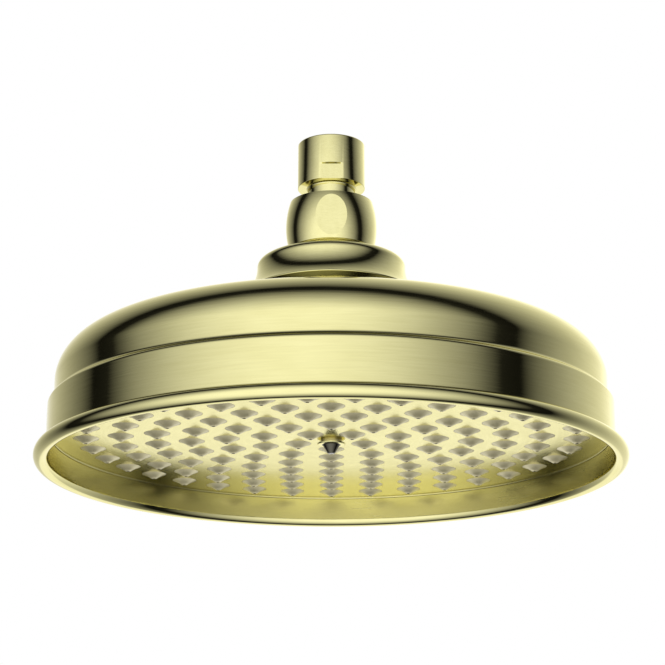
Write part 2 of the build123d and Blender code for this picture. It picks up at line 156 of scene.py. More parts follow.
class CollarSizes(bpy.types.PropertyGroup):
    """Sizes of the collar between the nut and the dome."""

    spigot_top: level("Spigot top", "Height of the threaded spigot's end", "collar", 1)
    tail_bottom: level("Tail bottom", "Height of the threaded tail's end", "collar", 0)
    spigot_radius: length("Spigot radius", "Radius of the spigot inside the nut", 13.2)
    seat_radius: length("Seat radius", "Radius of the seat's recess", 11.4)
    seat_bottom: length("Seat bottom", "Height of the recess's floor", -40.5)
    well_radius: length("Well radius", "Radius of the clearance under the ball", 8.3)
    well_bottom: length("Well bottom", "Height of the clearance's floor", -43.5)
    bore_radius: length("Bore radius", "Radius of the waterway", 6.5)
    ring_radius: length("Ring radius", "Radius of the shoulder ring under the nut", 13.5)
    ring_bottom: length("Ring bottom", "Height of the shoulder ring's foot", -41.4)
    top_radius: length("Top radius", "Radius where the sloping top meets the edge", 24.0)
    top_edge: length("Top edge", "Height where the sloping top meets the edge", -44.0)
    side_radius: length("Side radius", "Radius of the narrowest part of the side", 25.9)
    side_top: length("Side top", "Height of the narrowest part of the side", -46.4)
    skirt_radius: radius_of("Skirt radius", "Radius of the flared skirt", "collar")
    skirt_bottom: length("Skirt bottom", "Height of the flared skirt's lip", -56.6)
    lip_edge: length("Lip edge", "Rounding of the skirt's lip", 0.3)
    foot_radius: length("Foot radius", "Radius of the foot, where the skirt's underside ends", 24.5)
    foot_bottom: length("Foot bottom", "Height of the foot's lower face", -60.5)
    tail_radius: length("Tail radius", "Radius of the threaded tail inside the dome", 10.0)


class ShellSizes(bpy.types.PropertyGroup):
    """Sizes of the spun shell."""

    top: level("Top", "Height of the flat land under the collar", "shell", 1)
    bottom: level("Bottom", "Height of the rim's lowest line", "shell", 0)
    rim_radius: radius_of("Rim radius", "Outside radius of the rolled rim", "shell")
    wall: length("Wall", "Thickness of the sheet", 1.2)
    hole_radius: length("Hole radius", "Radius of the hole for the collar's tail", 10.1)
    land_radius: length("Land radius", "Radius of the flat land", 27.0)
    crown_radius: length("Crown radius", "Radius where the crown meets the shoulder", 84.034)
    crown_bottom: length("Crown bottom", "Height where the crown meets the shoulder", -76.9)
    crown_slope: angle_of("Crown slope", "Slope of the sheet where the crown meets the shoulder", 18)
    dome_radius: length("Dome radius", "Radius of the dome's straight side", 93.95)
    shoulder_bottom: length("Shoulder bottom", "Height where the shoulder meets the side", -90.548)
    side_bottom: length("Side bottom", "Height where the side meets the joggle", -96.548)
    apron_radius: length("Apron radius", "Outside radius of the apron", 96.0)
    apron_top: length("Apron top", "Height where the joggle meets the apron", -99.348)
    bead_radius: length("Bead radius", "Radius of the rolled rim's section", 2.5)
    ridge: length("Ridge", "Section radius of the fine ridge that marks off the plate", 0.45)
    groove_height: length("Groove height", "Height of the fine groove under the ridge", 0.2)
    groove_depth: length("Groove depth", "Depth of the fine groove under the ridge", 0.5)
    bead_root: length("Bead root", "Rounding where the rim leaves the apron", 0.9)


class PlateSizes(bpy.types.PropertyGroup):
    """Sizes of the face plate and its nozzles."""

    radius: radius_of("Plate radius", "Outside radius of the face plate", "face_plate")
    front: level("Plate front", "Height of the plate's front", "face_plate", 0)
    back: level("Plate back", "Height of the plate's back", "face_plate", 1)
    mat_radius: radius_of("Mat radius", "Outside radius of the nozzle mat", "nozzle_mat")
    mat_back: level("Mat back", "Height of the nozzle mat's back", "nozzle_mat", 1)
    nozzle_tip: level("Nozzle tip", "Height of the nozzles' tips", "nozzle_mat", 0)
    rings: IntProperty(name="Rings", description="Number of rings of nozzles", default=7, min=1, max=12)
    step: IntProperty(name="Step", description="Nozzles that each ring adds to the last", default=5, min=3)
    pitch: length("Ring pitch", "Distance between rings of nozzles", 11.86)
    nozzle_radius: length("Nozzle radius", "Radius of a nozzle at the plate", 4.4)
    tip_radius: length("Tip radius", "Radius of a nozzle's tip", 0.88)
    outlet_radius: length("Outlet radius", "Radius of a nozzle's outlet", 0.58)
    nozzle_waist: length("Nozzle waist", "Radius of a nozzle at a third of the way up from its tip", 1.8)
    nozzle_flare: length("Nozzle flare", "Radius of a nozzle at a third of the way down from the plate", 2.9)
    nozzle_root: length("Nozzle root", "How far a nozzle's root reaches into the mat", 0.1)
    outlet_depth: length("Outlet depth", "Depth of a nozzle's outlet", 0.9)
    hole_radius: length("Hole radius", "Radius of the plate's holes", 4.46)
    screw_hole: length("Screw hole", "Radius of the hole for the centre screw", 2.1)


class ScrewSizes(bpy.types.PropertyGroup):
    """Sizes of the finial screw."""

    top: level("Shank top", "Height of the shank's end", "centre_screw", 1)
    tip: length("Tip", "Height of the finial's tip", -112.2)
    shank_radius: length("Shank radius", "Radius of the threaded shank", 2.0)
    flange_radius: radius_of("Flange radius", "Radius of the finial's flange", "centre_screw")
    flange_top: length("Flange top", "Height of the flange's upper face", -108.7)
    flange_bottom: length("Flange bottom", "Height of the flange's lower face", -109.25)
    flange_edge: length("Flange edge", "Rounding of the flange's lower edge", 0.44)
    cone_radius: length("Cone radius", "Radius of the cone at the flange", 3.0)
    tip_radius: length("Tip radius", "Radius of the finial's tip", 1.2)


class FinishSettings(bpy.types.PropertyGroup):
    """Colours and roughness of the finishes."""

    gold: finish_colour("Gold", "Colour of the brushed gold plating", (0.76, 0.72, 0.37))
    gold_deep: finish_colour("Deep gold", "Colour where the brushing is coarse", (0.69, 0.65, 0.315))
    gold_edge: finish_colour("Gold edge", "Tint of the plating seen at a slant", (1.0, 0.97, 0.8))
    gold_roughness: number("Gold roughness", "Mean roughness of the plating", 0.075, min=0, max=1)
    silicone: finish_colour("Silicone", "Colour of the soft nozzles", (0.64, 0.585, 0.36))
    # Painted shade: the dark colour given to the inside of each nozzle's outlet in place of the shade in the
    # hole
    outlet: finish_colour("Outlet", "Colour inside a nozzle's outlet", (0.09, 0.075, 0.03))
    # The finial's cone below the flange is given a dark metal colour
    dark: finish_colour("Dark cone metal", "Colour of the finial's dark cone", (0.11, 0.105, 0.08))
    brass: finish_colour("Brass", "Colour of the plain turned brass", (0.72, 0.52, 0.22))
    steel: finish_colour("Steel", "Colour of the steel pieces", (0.56, 0.56, 0.55))
    rubber: finish_colour("Rubber", "Colour of the seals", (0.022, 0.022, 0.023))
    acetal: finish_colour("Acetal", "Colour of the ball's bearings", (0.78, 0.77, 0.73))


class StageSettings(bpy.types.PropertyGroup):
    """Camera, floor and light."""

    camera_place: spot("Camera place", "Where the camera stands", (0.0004, -0.6258, -0.2578))
    camera_pitch: angle_of("Camera pitch", "How far the camera looks up", 16.76)
    focal_length: number("Focal length", "Lens of the camera", 102.3, unit="CAMERA")
    sensor_width: number("Sensor width", "Width of the camera's picture area", 36.0, unit="CAMERA")
    floor_height: length("Floor height", "Height of the floor", -0.45, 1)
    floor_radius: length("Floor radius", "Radius of the floor", 4.0, 1)
    floor_colour: finish_colour("Floor colour", "Colour of the pale floor", (0.86, 0.86, 0.85))
    tent_radius: length("Tent radius", "Radius of the soft tent round the object", 2.5, 1)
    tent_turn: angle_of("Tent turn", "How far the tent's front is turned", -14)
    tent_tilt: angle_of("Tent tilt", "How far the tent's front is raised", -16)
    tent_strength: number("Tent strength", "Brightness of the tent's front", 1.4, min=0, max=3)
    patch_tilt: angle_of("Patch tilt", "How far the bright patch behind is raised", -26)
    patch_full: angle_of("Patch full", "How far from its middle the patch is at its brightest", 17)
    patch_gone: angle_of("Patch gone", "How far from its middle the patch ends", 40)
    patch_narrow: number("Patch narrowing", "How much narrower than tall the patch is", 1.8, min=0.2, max=5)
    patch_strength: number("Patch strength", "Brightness of the patch behind", 1.2, min=0, max=3)
    lamp_place: spot("Lamp place", "Where the broad soft lamp stands", (-0.7, -1.1, 1.3))
    lamp_aim: spot("Lamp aim", "Where the lamp points", (0.0, 0.0, -0.1))
    lamp_size: length("Lamp size", "Diameter of the lamp", 1.6, 1)
    lamp_power: number("Lamp power", "Power of the lamp", 12.0, unit="POWER")
    ambient: number("Ambient", "Strength of the plain soft light", 0.8, min=0, max=2)


class ShowerHeadSettings(bpy.types.PropertyGroup):
    """All that a user would change."""

    stem: PointerProperty(type=StemSizes)
    nut: PointerProperty(type=NutSizes)
    collar: PointerProperty(type=CollarSizes)
    shell: PointerProperty(type=ShellSizes)
    plate: PointerProperty(type=PlateSizes)
    screw: PointerProperty(type=ScrewSizes)
    finish: PointerProperty(type=FinishSettings)
    stage: PointerProperty(type=StageSettings)


def settings():
    """The scene's own settings."""
    return bpy.context.scene.shower_head


# Outlines are lists of (r, z) in metres, taken round the section in order


def arc(centre, radius, start, end, steps):
    """Points of a circular arc between two angles."""
    centre = Vector(centre)
    angles = [start + (end - start) * i / steps for i in range(steps + 1)]
    return [centre + radius * Vector((cos(a), sin(a))) for a in angles]


def tangent_arc(start, heading, end, steps):
    """Points after start of the arc that leaves it along heading and reaches end."""
    start, end, heading = Vector(start), Vector(end), Vector(heading).normalized()
    side = Vector((-heading.y, heading.x))
    chord = end - start
    bend = chord.dot(side)
    centre = start + side * chord.length_squared / (2 * bend)
    sweep = 2 * atan2(bend, chord.dot(heading))
    return [centre + Matrix.Rotation(sweep * i / steps, 2) @ (start - centre) for i in range(1, steps + 1)]


def rounded(corners, steps=EDGE_STEPS):
    """A closed outline from (r, z, rounding) corners and plain (r, z) points."""
    outline = []
    for i, corner in enumerate(corners):
        here = Vector(corner[:2])
        rounding = corner[2] if len(corner) > 2 else 0
        if not rounding:
            outline.append(here)
            continue
        before = (Vector(corners[i - 1][:2]) - here).normalized()
        after = (Vector(corners[(i + 1) % len(corners)][:2]) - here).normalized()
        half = before.angle(after) / 2
        centre = here + (before + after).normalized() * rounding / sin(half)
        first = here + before * rounding / tan(half) - centre
        last = here + after * rounding / tan(half) - centre
        turn = first.angle(last)
        for step in range(steps + 1):
            t = step / steps
            outline.append(centre + (first * sin((1 - t) * turn) + last * sin(t * turn)) / sin(turn))
    return outline


def divided(start, end, parts):
    """Points from start up to, but not at, end."""
    start, end = Vector(start), Vector(end)
    return [start.lerp(end, i / parts) for i in range(parts)]


def mesh_from(bm, name):
    """Make a finished bmesh a new mesh."""
    mesh = bpy.data.meshes.new(name)
    bm.to_mesh(mesh)
    bm.free()
    return mesh


def place(name, data):
    """Put a new object with this data in the scene."""
    thing = bpy.data.objects.new(name, data)
    bpy.context.scene.collection.objects.link(thing)
    return thing


def lathe(name, outline, segments=TURNED_SIDES, radius_at=None):
    """A closed mesh turned about Z; radius_at may change a point's radius by its angle."""
    bm = bmesh.new()
    rows = len(outline)
    columns = []
    for segment in range(segments):
        angle = 2 * pi * segment / segments
        column = []
        for row, point in enumerate(outline):
            r = radius_at(angle, row, point) if radius_at else point.x
            column.append(bm.verts.new((r * cos(angle), r * sin(angle), point.y)))
        columns.append(column)
    for segment in range(segments):
        here, there = columns[segment], columns[(segment + 1) % segments]
        for row in range(rows):
            after = (row + 1) % rows
            bm.faces.new((here[row], there[row], there[after], here[after]))
    bmesh.ops.remove_doubles(bm, verts=bm.verts, dist=1e-7)
    bmesh.ops.delete(bm, geom=[edge for edge in bm.edges if not edge.link_faces], context="EDGES")
    bmesh.ops.recalc_face_normals(bm, faces=bm.faces)
    mesh = mesh_from(bm, name)
    smooth(mesh)
    return mesh


def smooth(mesh, angle=SHARP_ANGLE):
    """Smooth shading with real edges kept."""
    mesh.shade_smooth()
    mesh.set_sharp_from_angle(angle=angle)


def show(name, mesh, body, nodes, materials):
    """Put a finished mesh in the scene in place of its CAD nodes."""
    piece = place(name, mesh)
    if materials:
        mesh.materials.clear()
    for material in materials:
        mesh.materials.append(material)
    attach(piece, body)
    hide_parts(*nodes)
    return piece


# Node helpers, for shaders and geometry alike


def feed(tree, node, inputs):
    """Give a node's inputs values or links."""
    for key, value in inputs.items():
        if isinstance(value, bpy.types.NodeSocket):
            tree.links.new(value, node.inputs[key])
        else:
            node.inputs[key].default_value = value
    return node


def add(tree, kind, inputs=None, **options):
    """Add a node, set its options, and give its inputs values or links."""
    node = tree.nodes.new(kind)
    for key, value in options.items():
        setattr(node, key, value)
    return feed(tree, node, inputs or {})


def calc(tree, operation, *values):
    """A Math node's result."""
    return add(tree, "ShaderNodeMath", dict(enumerate(values)), operation=operation).outputs[0]


def vector(tree, operation, *values):
    """A Vector Math node's results."""
    return add(tree, "ShaderNodeVectorMath", dict(enumerate(values)), operation=operation).outputs


def object_place(tree):
    """The shaded point in the object's own coordinates."""
    return add(tree, "ShaderNodeTexCoord").outputs["Object"]


def blend(tree, share, first, second):
    """A mix of two colours."""
    inputs = {0: share, 6: (*first, 1), 7: (*second, 1)}
    return add(tree, "ShaderNodeMix", inputs, data_type="RGBA").outputs[2]


def relief(tree, height, strength, depth):
    """A normal that follows a fine relief."""
    inputs = {"Strength": strength, "Distance": depth, "Height": height}
    return add(tree, "ShaderNodeBump", inputs).outputs[0]


def effect(tree, group, inputs):
    """The results of a shader group."""
    return add(tree, "ShaderNodeGroup", inputs, node_tree=group).outputs


def sockets(tree, inputs, outputs):
    """Make a group's named sockets, and return its input and output nodes."""
    for name, kind, default in inputs:
        socket = tree.interface.new_socket(name, in_out="INPUT", socket_type=kind)
        if default is not None:
            socket.default_value = default
    for name, kind in outputs:
        tree.interface.new_socket(name, in_out="OUTPUT", socket_type=kind)
    return tree.nodes.new("NodeGroupInput"), tree.nodes.new("NodeGroupOutput")


def turned_brushing():
    """Shader group: brushing that runs round the axis, as a lathe leaves it."""
    tree = bpy.data.node_groups.get("Turned brushing")
    if tree:
        return tree
    tree = bpy.data.node_groups.new("Turned brushing", "ShaderNodeTree")
    given, out = sockets(
        tree,
        [("Fineness", "NodeSocketFloat", 2600.0), ("Run", "NodeSocketFloat", 7.0)],
        [("Lines", "NodeSocketFloat"), ("Bands", "NodeSocketFloat")],
    )
    fineness, run = given.outputs["Fineness"], given.outputs["Run"]
    x, y, z = add(tree, "ShaderNodeSeparateXYZ", {0: object_place(tree)}).outputs
    squares = calc(tree, "ADD", calc(tree, "MULTIPLY", x, x), calc(tree, "MULTIPLY", y, y))
    radius = calc(tree, "SQRT", squares)
    safe = calc(tree, "MAXIMUM", radius, 1e-5)
    east = calc(tree, "MULTIPLY", calc(tree, "DIVIDE", x, safe), run)
    north = calc(tree, "MULTIPLY", calc(tree, "DIVIDE", y, safe), run)
    for name, share, detail in (("Lines", 1.0, 2.0), ("Bands", 0.12, 1.0)):
        scale = calc(tree, "MULTIPLY", fineness, share)
        across, along = calc(tree, "MULTIPLY", radius, scale), calc(tree, "MULTIPLY", z, scale)
        where = add(tree, "ShaderNodeCombineXYZ", {0: across, 1: along, 2: east}).outputs[0]
        noise = add(
            tree,
            "ShaderNodeTexNoise",
            {"Vector": where, "W": north, "Scale": 1.0, "Detail": detail, "Roughness": 0.55},
            noise_dimensions="4D",
        )
        tree.links.new(noise.outputs[0], out.inputs[name])
    return tree


def handling_film():
    """Shader group: the faint uneven film that handling and water leave."""
    tree = bpy.data.node_groups.get("Handling film")
    if tree:
        return tree
    tree = bpy.data.node_groups.new("Handling film", "ShaderNodeTree")
    given, out = sockets(
        tree,
        [("Scale", "NodeSocketFloat", 60.0), ("Amount", "NodeSocketFloat", 1.0)],
        [("Film", "NodeSocketFloat")],
    )
    shape = {"Scale": given.outputs["Scale"], "Detail": 4.0, "Roughness": 0.6, "Distortion": 0.4}
    broad = add(tree, "ShaderNodeTexNoise", {"Vector": object_place(tree), **shape})
    limits = {0: broad.outputs[0], 1: 0.42, 2: 0.72}
    edge = add(tree, "ShaderNodeMapRange", limits, interpolation_type="SMOOTHSTEP")
    tree.links.new(calc(tree, "MULTIPLY", edge.outputs[0], given.outputs["Amount"]), out.inputs["Film"])
    return tree


def new_material(name):
    """A new node material, its tree and its Principled shader."""
    material = bpy.data.materials.new(name)
    material.use_nodes = True
    return material, material.node_tree, material.node_tree.nodes["Principled BSDF"]


def made(name):
    """The material of that name, if it was made before."""
    return bpy.data.materials.get(name)


def brushed_gold(name="brushed_gold", fineness=1500.0, bump=0.06, spread=0.05, anisotropy=0.5, extra=0.0):
    """Gold plating over turned brass, brushed round the axis; extra is added to its roughness."""
    if made(name):
        return made(name)
    finish = settings().finish
    material, tree, shader = new_material(name)
    brushing = effect(tree, turned_brushing(), {"Fineness": fineness})
    film = effect(tree, handling_film(), {"Scale": 38.0})
    streaks = calc(tree, "ADD", brushing["Bands"], brushing["Lines"])
    tone = add(tree, "ShaderNodeMapRange", {0: streaks, 1: 0.55, 2: 1.45})
    scatter = calc(tree, "SUBTRACT", brushing["Lines"], 0.5)
    rough = calc(tree, "MULTIPLY_ADD", scatter, spread * 2, finish.gold_roughness + extra)
    tangent = add(tree, "ShaderNodeTangent", direction_type="RADIAL", axis="Z")
    feed(
        tree,
        shader,
        {
            "Base Color": blend(tree, tone.outputs[0], finish.gold, finish.gold_deep),
            "Roughness": calc(tree, "ADD", rough, calc(tree, "MULTIPLY", film["Film"], 0.035)),
            "Normal": relief(tree, brushing["Lines"], bump, BRUSHED_DEPTH),
            "Tangent": tangent.outputs[0],
            "Metallic": 1.0,
            "Specular Tint": (*finish.gold_edge, 1),
            "Anisotropic": anisotropy,
            "Anisotropic Rotation": 0.25,
        },
    )
    return material


def turned_metal(name, colour, roughness):
    """Plain machined metal, duller where the film lies."""
    if made(name):
        return made(name)
    material, tree, shader = new_material(name)
    lines = effect(tree, turned_brushing(), {"Fineness": 1500.0})["Lines"]
    film = effect(tree, handling_film(), {"Scale": 120.0})["Film"]
    dull = [channel * 0.72 for channel in colour]
    scatter = calc(tree, "SUBTRACT", lines, 0.5)
    feed(
        tree,
        shader,
        {
            "Base Color": blend(tree, film, colour, dull),
            "Roughness": calc(tree, "MULTIPLY_ADD", scatter, 0.2, roughness),
            "Normal": relief(tree, lines, 0.1, BRUSHED_DEPTH),
            "Metallic": 1.0,
        },
    )
    return material


def moulded(name, colour, roughness, grain, specular=0.5, pearl=0.0, film=1.0):
    """A moulded soft or plastic material with a fine matt grain, paler where the film lies."""
    if made(name):
        return made(name)
    material, tree, shader = new_material(name)
    cover = effect(tree, handling_film(), {"Scale": 150.0, "Amount": film})["Film"]
    shape = {"Scale": grain, "Detail": 3.0, "Roughness": 0.6}
    speckle = add(tree, "ShaderNodeTexNoise", {"Vector": object_place(tree), **shape}).outputs[0]
    pale = [min(1.0, channel * 1.18 + 0.006) for channel in colour]
    feed(
        tree,
        shader,
        {
            "Base Color": blend(tree, cover, colour, pale),
            "Roughness": calc(tree, "MULTIPLY_ADD", speckle, 0.12, roughness - 0.06),
            "Normal": relief(tree, speckle, 0.08, GRAIN_DEPTH),
            "Specular IOR Level": specular,
            "Metallic": pearl,
        },
    )
    return material


def nozzle_silicone():
    """Soft silicone with a pearl tint that matches the plating."""
    return moulded("nozzle_silicone", settings().finish.silicone, roughness=0.35, grain=2400.0, pearl=0.68)


def outlet_shadow():
    """Painted shade: a dark material for the inside of a nozzle's outlet, where the shade in the hole falls.
    """
    return moulded("outlet_shadow", settings().finish.outlet, roughness=0.7, grain=3000.0, specular=0.2)


class SHOWERHEAD_OT_stage(bpy.types.Operator):
    """Set the camera, the pale floor, the soft tent and the lamp"""

    bl_idname = "shower_head.stage"
    bl_label = "Stage"

    def execute(self, context):
        stage = settings().stage
        scene = context.scene
        scene.view_settings.view_transform = "Standard"
        camera = place("camera", bpy.data.cameras.new("camera"))
        camera.location = stage.camera_place
        camera.rotation_euler = (pi / 2 + stage.camera_pitch, 0, 0)
        camera.data.lens = stage.focal_length
        camera.data.sensor_width = stage.sensor_width
        camera.data.clip_start = 10 * MM
        scene.camera = camera
        scene.world = self.world(stage)
        self.floor(stage)
        self.tent(stage)
        self.lamp(stage)
        return {"FINISHED"}

    def world(self, stage):
        """White to the camera and in reflections, a plain soft level elsewhere."""
        world = bpy.data.worlds.new("studio")
        world.use_nodes = True
        tree = world.node_tree
        path = add(tree, "ShaderNodeLightPath").outputs
        seen = calc(tree, "MAXIMUM", path["Is Camera Ray"], path["Is Glossy Ray"])
        seen = calc(tree, "MAXIMUM", seen, path["Is Transmission Ray"])
        strength = add(tree, "ShaderNodeMapRange", {0: seen, 3: stage.ambient, 4: 1.0}).outputs[0]
        feed(tree, tree.nodes["Background"], {"Strength": strength, "Color": (1, 1, 1, 1)})
        return world

    def floor(self, stage):
        """A plain pale floor."""
        bm = bmesh.new()
        bmesh.ops.create_circle(bm, cap_ends=True, segments=SCREW_SIDES, radius=stage.floor_radius)
        mesh = mesh_from(bm, "floor")
        mesh.transform(Matrix.Translation((0, 0, stage.floor_height)))
        floor = place("floor", mesh)
        mesh.materials.append(
            moulded("pale_floor", stage.floor_colour, roughness=0.8, grain=300.0, specular=0.1, film=0.1)
        )
        floor.visible_glossy = False

    def tent(self, stage):
        """The soft tent that the plating reflects: bright in front and behind, dark round its side."""
        bm = bmesh.new()
        bmesh.ops.create_icosphere(bm, subdivisions=4, radius=stage.tent_radius)
        tent = place("studio_tent", mesh_from(bm, "studio_tent"))
        tent.visible_camera = False
        tent.visible_diffuse = False
        tent.visible_transmission = False
        tent.visible_shadow = False
        material, tree, shader = new_material("studio_tent")
        tree.nodes.remove(shader)
        where = object_place(tree)
        tones = calc(tree, "MULTIPLY", self.tones(tree, where, stage), stage.tent_strength)
        strength = calc(tree, "MAXIMUM", tones, self.patch(tree, where, stage))
        light = add(tree, "ShaderNodeEmission", {"Strength": strength})
        feed(tree, tree.nodes["Material Output"], {"Surface": light.outputs[0]})
        tent.data.materials.append(material)

    def tones(self, tree, where, stage):
        """The tent's brightness by the angle from its front."""
        reach = cos(stage.tent_tilt)
        front = (sin(stage.tent_turn) * reach, -cos(stage.tent_turn) * reach, sin(stage.tent_tilt))
        facing = vector(tree, "DOT_PRODUCT", vector(tree, "NORMALIZE", where)[0], front)["Value"]
        share = calc(tree, "DIVIDE", calc(tree, "ARCCOSINE", facing), pi)
        ramp = add(tree, "ShaderNodeValToRGB", {0: share})
        stops = ramp.color_ramp.elements
        while len(stops) < len(TENT_TONES):
            stops.new(0.5)
        for stop, (degrees, tone) in zip(stops, TENT_TONES):
            stop.position = degrees / 180
            stop.color = (tone, tone, tone, 1)
        return ramp.outputs[0]

    def patch(self, tree, where, stage):
        """The bright patch low behind."""
        behind = (0, cos(stage.patch_tilt), sin(stage.patch_tilt))
        narrow = vector(tree, "MULTIPLY", where, (stage.patch_narrow, 1, 1))[0]
        facing = vector(tree, "DOT_PRODUCT", vector(tree, "NORMALIZE", narrow)[0], behind)["Value"]
        gone, full = cos(stage.patch_gone), cos(stage.patch_full)
        limits = {0: facing, 1: gone, 2: full, 3: 0.0, 4: stage.patch_strength}
        return add(tree, "ShaderNodeMapRange", limits, interpolation_type="SMOOTHSTEP").outputs[0]

    def lamp(self, stage):
        """A broad soft lamp above and in front, for the floor's shadow and the soft pieces."""
        data = bpy.data.lights.new("soft_lamp", "AREA")
        data.shape = "DISK"
        data.size = stage.lamp_size
        data.energy = stage.lamp_power
        lamp = place("soft_lamp", data)
        lamp.location = stage.lamp_place
        aim = Vector(stage.lamp_aim) - Vector(stage.lamp_place)
        lamp.rotation_euler = aim.to_track_quat("-Z", "Y").to_euler()
        lamp.visible_glossy = False


class SHOWERHEAD_OT_shell(bpy.types.Operator):
    """Turn the spun shell: land, crown, shoulder, joggle, apron and rolled rim"""

    bl_idname = "shower_head.shell"
    bl_label = "Shell"

    def execute(self, context):
        s = settings().shell
        down = Vector((cos(s.crown_slope), -sin(s.crown_slope)))
        inward = Vector((-sin(s.crown_slope), -cos(s.crown_slope))) * s.wall
        joint = Vector((s.crown_radius, s.crown_bottom))
        inner_joint = joint + inward
        bead_z = s.bottom + s.bead_radius
        bead = Vector((s.rim_radius - s.bead_radius, bead_z))
        inner = s.apron_radius - s.wall
        middle = Vector(((s.dome_radius + s.apron_radius) / 2, (s.side_bottom + s.apron_top) / 2))
        outline = [Vector((s.hole_radius, s.top - s.wall)), Vector((s.hole_radius, s.top))]
        crown = tangent_arc(joint, -down, (s.land_radius, s.top), 40)
        outline += crown[::-1] + [joint]
        outline += tangent_arc(joint, down, (s.dome_radius, s.shoulder_bottom), 28)
        outline += [Vector((s.dome_radius, s.side_bottom))]
        outline += tangent_arc((s.dome_radius, s.side_bottom), (0, -1), middle, 8)
        outline += tangent_arc((s.apron_radius, s.apron_top), (0, 1), middle, 8)[::-1][1:]
        outline += [Vector((s.apron_radius, s.apron_top))]
        outline += self.bead_root(s, bead)
        start = self.root_angle(s, bead)
        outline += arc(bead, s.bead_radius, start, -pi / 2, 28)[1:]
        reach = bead.x - inner
        outline += [
            bead + Vector((-reach * sin(a), -s.bead_radius * cos(a)))
            for a in (pi / 2 * i / 12 for i in range(1, 13))
        ]
        plate = settings().plate.front
        groove = plate - s.ridge - s.groove_height
        outline += [
            Vector((inner, groove)),
            Vector((inner + s.groove_depth, groove)),
            Vector((inner + s.groove_depth, plate - s.ridge)),
        ]
        outline += arc((inner, plate), s.ridge, -pi / 2, -pi, 6)
        outline += [
            Vector((inner, plate)),
            Vector((inner, s.apron_top)),
            Vector((s.dome_radius - s.wall, s.side_bottom)),
            Vector((s.dome_radius - s.wall, s.shoulder_bottom)),
        ]
        inner_side = tangent_arc(inner_joint, down, (s.dome_radius - s.wall, s.shoulder_bottom), 16)
        outline += inner_side[::-1][1:] + [inner_joint]
        outline += tangent_arc(inner_joint, -down, (s.land_radius, s.top - s.wall), 20)
        mesh = lathe("shell_brushed", outline, FINE_SIDES)
        inside = brushed_gold(
            "inner_gold", fineness=1100.0, bump=0.03, spread=0.06, anisotropy=0.3, extra=0.16
        )
        show("shell_brushed", mesh, "head", ["shell"], [brushed_gold(), inside])
        for face in mesh.polygons:
            centre = face.center
            on_wall = centre.xy.length > inner - s.wall and centre.z > bead_z
            face.material_index = int(on_wall and face.normal.xy.dot(centre.xy) < 0)
        return {"FINISHED"}

    def root_angle(self, s, bead):
        """Angle on the bead where the small rounding from the apron ends."""
        across = s.apron_radius + s.bead_root - bead.x
        rise = sqrt((s.bead_radius + s.bead_root) ** 2 - across**2)
        return atan2(rise, across)

    def bead_root(self, s, bead):
        """The small rounding from the apron's side on to the bead."""
        angle = self.root_angle(s, bead)
        centre = bead + (s.bead_radius + s.bead_root) * Vector((cos(angle), sin(angle)))
        return arc(centre, s.bead_root, pi, angle + pi, 8)


class SHOWERHEAD_OT_collar(bpy.types.Operator):
    """Turn the collar: spigot, sloping top, flared skirt, foot and tail"""

    bl_idname = "shower_head.collar"
    bl_label = "Collar"

    def execute(self, context):
        c = settings().collar
        slope = Vector((c.top_radius - c.ring_radius, c.top_edge - c.ring_bottom))
        edge = tangent_arc((c.top_radius, c.top_edge), slope, (c.side_radius, c.side_top), 10)
        cove = tangent_arc((c.side_radius, c.side_top), (0, -1), (c.skirt_radius, c.skirt_bottom), 20)
        nut_bottom = settings().nut.bottom
        corners = [
            (c.bore_radius, c.tail_bottom),
            (c.bore_radius, c.well_bottom),
            (c.well_radius, c.well_bottom),
            (c.well_radius, c.seat_bottom),
            (c.seat_radius, c.seat_bottom),
            (c.seat_radius, c.spigot_top),
            (c.spigot_radius, c.spigot_top, EDGE),
            (c.spigot_radius, nut_bottom),
            (c.ring_radius, nut_bottom, FINE_EDGE),
            (c.ring_radius, c.ring_bottom, BROAD_EDGE),
            (c.top_radius, c.top_edge),
            *edge,
            *cove[:-1],
            (c.skirt_radius, c.skirt_bottom, c.lip_edge),
            (c.foot_radius, c.foot_bottom, EDGE),
            (c.tail_radius, c.foot_bottom),
            (c.tail_radius, c.tail_bottom, BROAD_EDGE),
        ]
        mesh = lathe("collar_brushed", rounded(corners))
        show("collar_brushed", mesh, "head", ["collar"], [brushed_gold()])
        return {"FINISHED"}


